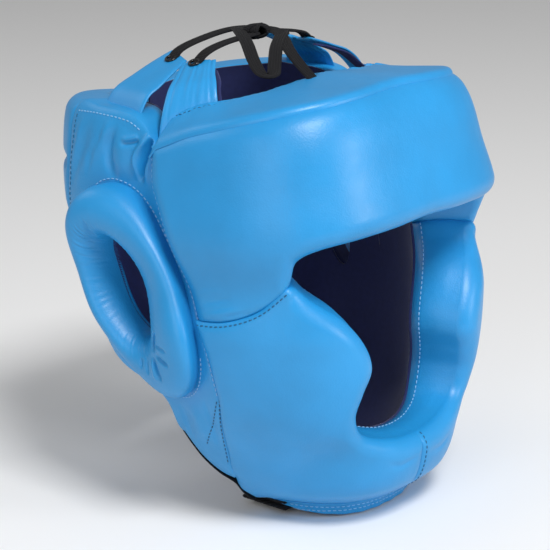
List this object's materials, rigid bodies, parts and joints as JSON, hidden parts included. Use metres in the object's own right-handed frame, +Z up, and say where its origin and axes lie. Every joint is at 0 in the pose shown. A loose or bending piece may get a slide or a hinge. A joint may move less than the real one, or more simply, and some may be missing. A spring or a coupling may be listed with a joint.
{
  "type": "boxing headgear",
  "caption": "Padded boxing headgear with forehead, cheek and chin pads, ear rings, open face, laced crown, rear closing strap and chin strap.",
  "frame": {"origin": "middle of the head space at the height of the ear canals, where the wearer's head sits", "axes": "+Z up through the crown, the face opening looks along -Y, +X is the wearer's left"},
  "size_m": [0.2464, 0.2486, 0.2836],
  "materials": {
    "shell_leather": "satin",
    "lining_suede": "matte",
    "pad_foam": "matte",
    "webbing": "matte",
    "hook_and_loop": "matte",
    "lace": "matte",
    "eyelet": "gloss"
  },
  "bodies": {
    "shell": {"forehead_cover": "shell_leather", "forehead_foam": "pad_foam", "forehead_lining": "lining_suede", "forehead_top_panel": "shell_leather", "cheek_cover_right": "shell_leather", "cheek_foam_right": "pad_foam", "cheek_lining_right": "lining_suede", "cheek_cover_left": "shell_leather", "cheek_foam_left": "pad_foam", "cheek_lining_left": "lining_suede", "side_cover_right": "shell_leather", "side_foam_right": "pad_foam", "side_lining_right": "lining_suede", "side_cover_left": "shell_leather", "side_foam_left": "pad_foam", "side_lining_left": "lining_suede", "ear_ring_cover_right": "shell_leather", "ear_ring_foam_right": "pad_foam", "ear_ring_cover_left": "shell_leather", "ear_ring_foam_left": "pad_foam", "crown_rear_strap_right": "shell_leather", "crown_front_strap_right": "shell_leather", "crown_rear_strap_left": "shell_leather", "crown_front_strap_left": "shell_leather", "crown_eyelets": "eyelet", "crown_lace": "lace", "crown_knot": "lace", "chin_flap": "shell_leather", "chin_loop_tab": "webbing", "chin_strap_end": "webbing"},
    "rear_panel_left": {"rear_cover_left": "shell_leather", "rear_foam_left": "pad_foam", "rear_lining_left": "lining_suede", "rear_strap_end": "webbing"},
    "rear_panel_right": {"rear_cover_right": "shell_leather", "rear_foam_right": "pad_foam", "rear_lining_right": "lining_suede", "rear_loop_patch": "hook_and_loop"},
    "rear_strap": {"rear_strap": "webbing", "rear_hook_patch": "hook_and_loop"},
    "chin_strap": {"chin_strap": "webbing", "chin_hook_patch": "hook_and_loop"}
  },
  "joints": [
    {"name": "rear_panel_left_open", "type": "hinge", "parent": "shell", "child": "rear_panel_left", "pos_m": [0.09409, 0.06419, 0], "axis": [-0.0659, -0.0449, -0.9968], "range_deg": [0, 22]},
    {"name": "rear_panel_right_open", "type": "hinge", "parent": "shell", "child": "rear_panel_right", "pos_m": [-0.09409, 0.06419, 0], "axis": [-0.0659, 0.0449, 0.9968], "range_deg": [0, 22]},
    {"name": "rear_strap_peel", "type": "hinge", "parent": "rear_panel_left", "child": "rear_strap", "pos_m": [0.02775, 0.09805, 0], "axis": [-0.0998, -0.3527, -0.9304], "range_deg": [0, 110]},
    {"name": "chin_strap_peel", "type": "hinge", "parent": "shell", "child": "chin_strap", "pos_m": [0.05175, -0.046, -0.1411], "axis": [0, -1, 0], "range_deg": [0, 95]}
  ],
  "couplings": [
    {"joint": "rear_panel_right_open", "follows": "rear_panel_left_open", "ratio": 1},
    {"joint": "rear_strap_peel", "follows": "rear_panel_left_open", "ratio": 5}
  ]
}
